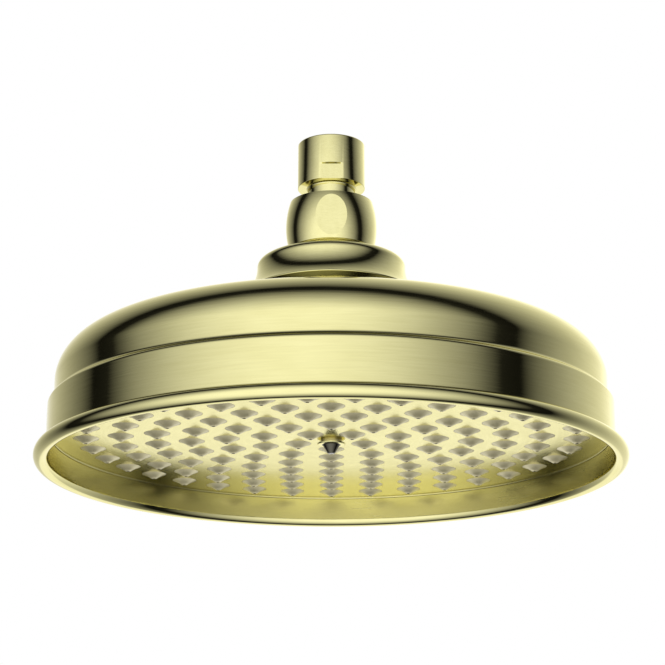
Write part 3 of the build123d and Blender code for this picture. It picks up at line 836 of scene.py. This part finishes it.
class SHOWERHEAD_OT_ball_nut(bpy.types.Operator):
    """Turn the bulging ball nut and cut its two oval wrench flats"""

    bl_idname = "shower_head.ball_nut"
    bl_label = "Ball nut"

    def execute(self, context):
        n = settings().nut
        ball = settings().stem.ball_centre
        shoulder = Vector((n.shoulder_radius, n.top - n.shoulder_drop))
        side = self.through(shoulder, (n.largest_radius, ball), (n.bottom_radius, n.bottom), 26)
        crown_start = Vector((n.mouth_radius + n.mouth_edge, n.top - n.crown_drop))
        crown_middle = ((n.mouth_radius + n.shoulder_radius) / 2, n.top - n.shoulder_drop * n.crown_bulge)
        crown = self.through(crown_start, crown_middle, shoulder, 12)
        mouth_angle = asin(n.mouth_radius / n.cavity_radius)
        hollow = arc((0, ball), n.cavity_radius, 0, pi / 2 - mouth_angle, 14)
        mouth = arc((crown_start.x, n.top - n.mouth_edge), n.mouth_edge, pi, pi / 2, EDGE_STEPS)
        outline = mouth + crown[1:] + side[1:-1]
        outline += rounded(
            [
                side[-2],
                (n.bottom_radius, n.bottom, EDGE),
                (n.thread_radius, n.bottom, EDGE),
                (n.thread_radius, n.thread_top),
                (n.cavity_radius, n.thread_top),
            ]
        )[1:]
        outline += hollow
        mesh = lathe("ball_nut_brushed", outline, FINE_SIDES)
        self.cut_flats(mesh, n.flat_distance)
        show("ball_nut_brushed", mesh, "head", ["ball_nut"], [brushed_gold()])
        return {"FINISHED"}

    def through(self, start, middle, end, steps):
        """Points of the arc from start through middle to end."""
        start, middle, end = Vector(start), Vector(middle), Vector(end)
        a, b = middle - start, end - start
        cross = 2 * (a.x * b.y - a.y * b.x)
        offset = Vector(
            (
                (b.y * a.length_squared - a.y * b.length_squared) / cross,
                (a.x * b.length_squared - b.x * a.length_squared) / cross,
            )
        )
        first = -offset
        last = b - offset
        turn = atan2(first.x * last.y - first.y * last.x, first.dot(last))
        return [start + offset + Matrix.Rotation(turn * i / steps, 2) @ first for i in range(steps + 1)]

    def cut_flats(self, mesh, distance):
        """Cut both sides flat and close each cut with one face and a crisp edge."""
        bm = bmesh.new()
        bm.from_mesh(mesh)
        rims = []
        for side in (-1, 1):
            bmesh.ops.bisect_plane(
                bm,
                geom=bm.verts[:] + bm.edges[:] + bm.faces[:],
                dist=1e-7,
                plane_co=(0, side * distance, 0),
                plane_no=(0, side, 0),
                clear_outer=True,
            )
            rim = [edge for edge in bm.edges if edge.is_boundary]
            if not rim:
                raise RuntimeError("the wrench flat misses the ball nut")
            bmesh.ops.holes_fill(bm, edges=rim, sides=0)
            rims += rim
        for edge in bm.edges:
            edge.smooth = True
        for face in bm.faces:
            face.smooth = True
        for edge in bm.edges:
            if len(edge.link_faces) == 2 and edge.calc_face_angle() > SHARP_ANGLE:
                edge.smooth = False
        for edge in rims:
            if edge.is_valid:
                edge.smooth = False
        bm.to_mesh(mesh)
        bm.free()


class SHOWERHEAD_OT_ball_stem(bpy.types.Operator):
    """Turn the inlet coupling with its thread and wrench flats, the neck and the ball"""

    bl_idname = "shower_head.ball_stem"
    bl_label = "Ball stem"

    def execute(self, context):
        s = settings().stem
        foot_angle = asin((s.ball_foot - s.ball_centre) / s.ball_radius)
        neck_angle = acos(s.neck_radius / s.ball_radius)
        outer = [Vector((s.waterway_radius, s.ball_foot))]
        outer += arc((0, s.ball_centre), s.ball_radius, foot_angle, neck_angle, 40)
        outer += rounded(
            [
                outer[-1],
                (s.neck_radius, s.coupling_bottom, s.neck_fillet),
                (s.coupling_radius, s.coupling_bottom, FINE_EDGE),
                (s.coupling_radius, s.flat_top),
            ]
        )[1:-1]
        flat_rows = (len(outer) - EDGE_STEPS - 1, len(outer) + 1)
        outer += [Vector((s.coupling_radius, s.flat_top + rise)) for rise in (0, s.flat_run)]
        edge = s.coupling_edge
        outer += arc((s.coupling_radius - edge, -edge), edge, 0, pi / 2, EDGE_STEPS)
        thread = divided((s.thread_minor, 0), (s.thread_minor, s.thread_bottom), THREAD_STEPS)
        thread_rows = (len(outer), len(outer) + len(thread))
        outer += thread
        outer += [
            Vector((s.thread_minor, s.thread_bottom)),
            Vector((s.relief_radius, s.thread_bottom)),
            Vector((s.relief_radius, s.socket_bottom)),
            Vector((s.waterway_radius, s.socket_bottom)),
        ]

        def radius_at(angle, row, point):
            if thread_rows[0] <= row < thread_rows[1]:
                phase = (point.y / s.thread_pitch - angle / (2 * pi)) % 1
                groove = min(1, max(0, (abs(phase - 0.5) * 2 - THREAD_FLAT) / (1 - 2 * THREAD_FLAT)))
                groove *= min(1, (point.y - s.thread_bottom) / s.thread_pitch)
                return point.x + groove * (s.thread_major - s.thread_minor)
            if flat_rows[0] <= row < flat_rows[1] and abs(sin(angle)) > 0.1:
                return min(point.x, s.flat_distance / abs(sin(angle)))
            return point.x

        mesh = lathe("ball_stem_brushed", outer, FINE_SIDES, radius_at)
        show("ball_stem_brushed", mesh, "stem", ["ball_stem"], [brushed_gold()])
        return {"FINISHED"}


def nozzle_rings():
    """Geometry group: one point for each nozzle, ring by ring, with one of each ring on +Y."""
    tree = bpy.data.node_groups.get("Nozzle rings")
    if tree:
        return tree
    tree = bpy.data.node_groups.new("Nozzle rings", "GeometryNodeTree")
    given, out = sockets(
        tree,
        [
            ("Rings", "NodeSocketInt", 7),
            ("Step", "NodeSocketInt", 5),
            ("Pitch", "NodeSocketFloat", 0.012),
            ("Level", "NodeSocketFloat", 0.0),
        ],
        [("Points", "NodeSocketGeometry")],
    )
    rings, step, pitch, height = given.outputs[:4]
    pairs = calc(tree, "MULTIPLY", rings, calc(tree, "ADD", rings, 1.0))
    count = calc(tree, "MULTIPLY", calc(tree, "DIVIDE", pairs, 2.0), step)
    index = add(tree, "GeometryNodeInputIndex").outputs[0]
    eighths = calc(tree, "DIVIDE", calc(tree, "MULTIPLY", index, 8.0), step)
    root = calc(tree, "SQRT", calc(tree, "ADD", eighths, 1.0))
    half = calc(tree, "DIVIDE", calc(tree, "ADD", root, 1.0), 2.0)
    ring = calc(tree, "FLOOR", calc(tree, "ADD", half, 1e-4))
    inner_pairs = calc(tree, "MULTIPLY", ring, calc(tree, "SUBTRACT", ring, 1.0))
    earlier = calc(tree, "MULTIPLY", calc(tree, "DIVIDE", inner_pairs, 2.0), step)
    turn = calc(tree, "DIVIDE", calc(tree, "SUBTRACT", index, earlier), calc(tree, "MULTIPLY", ring, step))
    angle = calc(tree, "MULTIPLY_ADD", turn, 2 * pi, pi / 2)
    reach = calc(tree, "MULTIPLY", ring, pitch)
    east = calc(tree, "MULTIPLY", reach, calc(tree, "COSINE", angle))
    north = calc(tree, "MULTIPLY", reach, calc(tree, "SINE", angle))
    where = add(tree, "ShaderNodeCombineXYZ", {0: east, 1: north, 2: height})
    points = add(tree, "GeometryNodePoints", {"Count": count, "Position": where.outputs[0]})
    tree.links.new(points.outputs[0], out.inputs[0])
    return tree


def pierced_plate():
    """Geometry tree: a disc with a hole for each nozzle and one for the screw, given its thickness."""
    tree = bpy.data.node_groups.new("Pierced plate", "GeometryNodeTree")
    given, out = sockets(
        tree,
        [
            ("Geometry", "NodeSocketGeometry", None),
            ("Rings", "NodeSocketInt", 7),
            ("Step", "NodeSocketInt", 5),
            ("Pitch", "NodeSocketFloat", 0.012),
            ("Radius", "NodeSocketFloat", 0.09),
            ("Hole radius", "NodeSocketFloat", 0.0045),
            ("Screw hole", "NodeSocketFloat", 0.002),
            ("Back", "NodeSocketFloat", 0.0),
            ("Thickness", "NodeSocketFloat", 0.001),
            ("Material", "NodeSocketMaterial", None),
        ],
        [("Geometry", "NodeSocketGeometry")],
    )
    give = given.outputs
    rings = {name: give[name] for name in ("Rings", "Step", "Pitch")}
    points = add(tree, "GeometryNodeGroup", rings, node_tree=nozzle_rings())

    def circle(radius, sides):
        inputs = {"Radius": radius, "Resolution": sides}
        return add(tree, "GeometryNodeCurvePrimitiveCircle", inputs).outputs[0]

    outer, screw = circle(give["Radius"], FINE_SIDES), circle(give["Screw hole"], HOLE_SIDES)
    spread = {"Points": points.outputs[0], "Instance": circle(give["Hole radius"], HOLE_SIDES)}
    holes = add(tree, "GeometryNodeInstanceOnPoints", spread)
    joined = add(tree, "GeometryNodeJoinGeometry")
    for part in (outer, screw, holes.outputs[0]):
        tree.links.new(part, joined.inputs[0])
    curves = add(tree, "GeometryNodeRealizeInstances", {0: joined.outputs[0]})
    filled = add(tree, "GeometryNodeFillCurve", {0: curves.outputs[0]})
    offset = add(tree, "ShaderNodeCombineXYZ", {2: give["Back"]})
    move = {"Geometry": filled.outputs[0], "Translation": offset.outputs[0]}
    lifted = add(tree, "GeometryNodeTransform", move).outputs[0]
    down = add(tree, "ShaderNodeCombineXYZ", {2: -1.0}).outputs[0]
    depth = {"Offset": down, "Offset Scale": give["Thickness"], "Individual": False}
    front = add(tree, "GeometryNodeExtrudeMesh", {"Mesh": lifted, **depth})
    both = add(tree, "GeometryNodeJoinGeometry")
    for part in (front.outputs[0], lifted):
        tree.links.new(part, both.inputs[0])
    merged = add(tree, "GeometryNodeMergeByDistance", {"Geometry": both.outputs[0], "Distance": 1e-6})
    real = add(tree, "GeometryNodeRealizeInstances", {0: merged.outputs[0]})
    paint = {"Geometry": real.outputs[0], "Material": give["Material"]}
    painted = add(tree, "GeometryNodeSetMaterial", paint)
    tree.links.new(painted.outputs[0], out.inputs[0])
    return tree


def nozzle_field():
    """Geometry tree: the mat it is given, with a soft nozzle at each point."""
    tree = bpy.data.node_groups.new("Nozzle field", "GeometryNodeTree")
    given, out = sockets(
        tree,
        [
            ("Geometry", "NodeSocketGeometry", None),
            ("Rings", "NodeSocketInt", 7),
            ("Step", "NodeSocketInt", 5),
            ("Pitch", "NodeSocketFloat", 0.012),
            ("Level", "NodeSocketFloat", 0.0),
            ("Nozzle", "NodeSocketObject", None),
            ("Silicone", "NodeSocketMaterial", None),
            ("Outlet", "NodeSocketMaterial", None),
        ],
        [("Geometry", "NodeSocketGeometry")],
    )
    give = given.outputs
    rings = {name: give[name] for name in ("Rings", "Step", "Pitch", "Level")}
    points = add(tree, "GeometryNodeGroup", rings, node_tree=nozzle_rings())
    nozzle = add(tree, "GeometryNodeObjectInfo", {"Object": give["Nozzle"]})
    spread = {"Points": points.outputs[0], "Instance": nozzle.outputs["Geometry"]}
    nozzles = add(tree, "GeometryNodeInstanceOnPoints", spread)
    joined = add(tree, "GeometryNodeJoinGeometry")
    tree.links.new(nozzles.outputs[0], joined.inputs[0])
    tree.links.new(give["Geometry"], joined.inputs[0])
    real = add(tree, "GeometryNodeRealizeInstances", {0: joined.outputs[0]})
    soft = add(tree, "GeometryNodeSetMaterial", {"Geometry": real.outputs[0], "Material": give["Silicone"]})
    # Painted shade: the outlet's faces get the dark outlet material
    inside = add(tree, "GeometryNodeInputNamedAttribute", {"Name": "outlet"}, data_type="BOOLEAN")
    paint = {"Geometry": soft.outputs[0], "Selection": inside.outputs[0], "Material": give["Outlet"]}
    dark = add(tree, "GeometryNodeSetMaterial", paint)
    tree.links.new(dark.outputs[0], out.inputs[0])
    return tree


def grow(name, mesh, tree, values):
    """Run a geometry tree on a mesh and return the result as a plain mesh."""
    carrier = place(name, mesh)
    modifier = carrier.modifiers.new("tree", "NODES")
    modifier.node_group = tree
    for item in tree.interface.items_tree:
        if item.item_type == "SOCKET" and item.in_out == "INPUT" and item.name in values:
            modifier[item.identifier] = values[item.name]
    bpy.context.view_layer.update()
    depsgraph = bpy.context.evaluated_depsgraph_get()
    result = bpy.data.meshes.new_from_object(carrier.evaluated_get(depsgraph))
    carrier.modifiers.remove(modifier)
    bpy.data.objects.remove(carrier)
    if not result.polygons:
        raise RuntimeError(f"the geometry tree of {name} made nothing")
    result.name = name
    return result


class SHOWERHEAD_OT_face_plate(bpy.types.Operator):
    """Make the pierced face plate"""

    bl_idname = "shower_head.face_plate"
    bl_label = "Face plate"

    def execute(self, context):
        p = settings().plate
        gold = brushed_gold(
            "plate_gold", fineness=2200.0, bump=0.03, spread=0.06, anisotropy=0.3, extra=0.1
        )
        mesh = grow(
            "face_plate_pierced",
            bpy.data.meshes.new("plate_carrier"),
            pierced_plate(),
            {
                "Rings": p.rings,
                "Step": p.step,
                "Pitch": p.pitch,
                "Radius": p.radius,
                "Hole radius": p.hole_radius,
                "Screw hole": p.screw_hole,
                "Back": p.back,
                "Thickness": p.back - p.front,
                "Material": gold,
            },
        )
        bm = bmesh.new()
        bm.from_mesh(mesh)
        bmesh.ops.recalc_face_normals(bm, faces=bm.faces)
        bm.to_mesh(mesh)
        bm.free()
        smooth(mesh, radians(30))
        show("face_plate_pierced", mesh, "head", ["face_plate"], [])
        return {"FINISHED"}


class SHOWERHEAD_OT_nozzle_mat(bpy.types.Operator):
    """Make the soft mat with a conical nozzle in each hole of the plate"""

    bl_idname = "shower_head.nozzle_mat"
    bl_label = "Nozzle mat"

    def execute(self, context):
        p = settings().plate
        tip = p.nozzle_tip - p.front
        root = p.back - p.front + p.nozzle_root
        outline = [
            (0, tip + p.outlet_depth),
            (p.outlet_radius, tip + p.outlet_depth),
            (p.outlet_radius, tip),
            (p.tip_radius, tip),
            (p.nozzle_waist, tip * 2 / 3),
            (p.nozzle_flare, tip / 3),
            (p.nozzle_radius, 0),
            (p.nozzle_radius, root),
            (0, root),
        ]
        nozzle_mesh = lathe("nozzle", [Vector(point) for point in outline], NOZZLE_SIDES)
        # Marks the outlet's faces, which get the painted shade
        inside = nozzle_mesh.attributes.new("outlet", "BOOLEAN", "FACE")
        for face in nozzle_mesh.polygons:
            near = max(nozzle_mesh.vertices[v].co.xy.length for v in face.vertices)
            inside.data[face.index].value = near < p.outlet_radius * 1.01 and face.center.z < 0
        nozzle = place("nozzle", nozzle_mesh)
        corners = [
            (p.screw_hole, p.back),
            (p.mat_radius, p.back),
            (p.mat_radius, p.mat_back, EDGE),
            (p.screw_hole, p.mat_back),
        ]
        mat = lathe("mat_disc", rounded(corners))
        mesh = grow(
            "nozzle_mat_soft",
            mat,
            nozzle_field(),
            {
                "Rings": p.rings,
                "Step": p.step,
                "Pitch": p.pitch,
                "Level": p.front,
                "Nozzle": nozzle,
                "Silicone": nozzle_silicone(),
                "Outlet": outlet_shadow(),
            },
        )
        bpy.data.objects.remove(nozzle)
        smooth(mesh, radians(40))
        show("nozzle_mat_soft", mesh, "head", ["nozzle_mat"], [])
        return {"FINISHED"}


class SHOWERHEAD_OT_finial_screw(bpy.types.Operator):
    """Turn the finial screw that holds the plate"""

    bl_idname = "shower_head.finial_screw"
    bl_label = "Finial screw"

    def execute(self, context):
        s = settings().screw
        corners = [
            (0, s.tip),
            (s.tip_radius, s.tip, BROAD_EDGE),
            (s.cone_radius, s.flange_bottom, BROAD_EDGE),
            (s.flange_radius, s.flange_bottom, s.flange_edge),
            (s.flange_radius, s.flange_top, HAIR_EDGE),
            (s.shank_radius, s.flange_top),
            (s.shank_radius, s.top, EDGE),
            (0, s.top),
        ]
        mesh = lathe("finial_screw", rounded(corners), SCREW_SIDES)
        # The cone below the flange is given a dark metal colour
        dark = turned_metal("dark_cone_metal", settings().finish.dark, roughness=0.12)
        show("finial_screw", mesh, "head", ["centre_screw"], [brushed_gold(), dark])
        for face in mesh.polygons:
            face.material_index = int(face.center.z < s.flange_bottom)
        return {"FINISHED"}


class SHOWERHEAD_OT_inner_parts(bpy.types.Operator):
    """Give the CAD pieces inside the head their own finishes"""

    bl_idname = "shower_head.inner_parts"
    bl_label = "Inner parts"

    def execute(self, context):
        finish = settings().finish
        brass = turned_metal("plain_brass", finish.brass, roughness=0.34)
        steel = turned_metal("plain_steel", finish.steel, roughness=0.3)
        rubber = moulded("seal_rubber", finish.rubber, roughness=0.62, grain=1800.0)
        acetal = moulded("bearing_acetal", finish.acetal, roughness=0.38, grain=2600.0)
        for material, names in (
            (brass, ("locknut", "plate_seat", "centre_post")),
            (steel, ("filter_screen", "lock_washer")),
            (rubber, ("inlet_washer", "ball_seal", "dome_gasket", "plate_seal")),
            (acetal, ("slip_ring", "ball_seat", "mat_backing")),
            (nozzle_silicone(), ("screw_seal",)),
        ):
            for name in names:
                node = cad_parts[name]
                node.data.materials.clear()
                node.data.materials.append(material)
        return {"FINISHED"}


class SHOWERHEAD_PT_panel(bpy.types.Panel):
    """Lists the pieces and what can be changed"""

    bl_idname = "SHOWERHEAD_PT_panel"
    bl_label = "Shower head"
    bl_space_type = "VIEW_3D"
    bl_region_type = "UI"
    bl_category = "Shower head"

    def draw(self, context):
        for operator in OPERATORS:
            self.layout.operator(operator.bl_idname)
        chosen = context.scene.shower_head
        for name in ("stem", "nut", "collar", "shell", "plate", "screw", "finish", "stage"):
            box = self.layout.box()
            box.label(text=name.capitalize())
            group = getattr(chosen, name)
            for prop in group.__annotations__:
                box.prop(group, prop)


OPERATORS = (
    SHOWERHEAD_OT_stage,
    SHOWERHEAD_OT_shell,
    SHOWERHEAD_OT_collar,
    SHOWERHEAD_OT_ball_nut,
    SHOWERHEAD_OT_ball_stem,
    SHOWERHEAD_OT_face_plate,
    SHOWERHEAD_OT_nozzle_mat,
    SHOWERHEAD_OT_finial_screw,
    SHOWERHEAD_OT_inner_parts,
)
CLASSES = (
    StemSizes,
    NutSizes,
    CollarSizes,
    ShellSizes,
    PlateSizes,
    ScrewSizes,
    FinishSettings,
    StageSettings,
    ShowerHeadSettings,
    *OPERATORS,
    SHOWERHEAD_PT_panel,
)


def register():
    for cls in CLASSES:
        bpy.utils.register_class(cls)
    bpy.types.Scene.shower_head = PointerProperty(type=ShowerHeadSettings)


def unregister():
    del bpy.types.Scene.shower_head
    for cls in reversed(CLASSES):
        bpy.utils.unregister_class(cls)


def main():
    """Build every piece in order."""
    register()
    bpy.ops.shower_head.stage()
    bpy.ops.shower_head.shell()
    bpy.ops.shower_head.collar()
    bpy.ops.shower_head.ball_nut()
    bpy.ops.shower_head.ball_stem()
    bpy.ops.shower_head.face_plate()
    bpy.ops.shower_head.nozzle_mat()
    bpy.ops.shower_head.finial_screw()
    bpy.ops.shower_head.inner_parts()


if __name__ == "__main__":
    main()
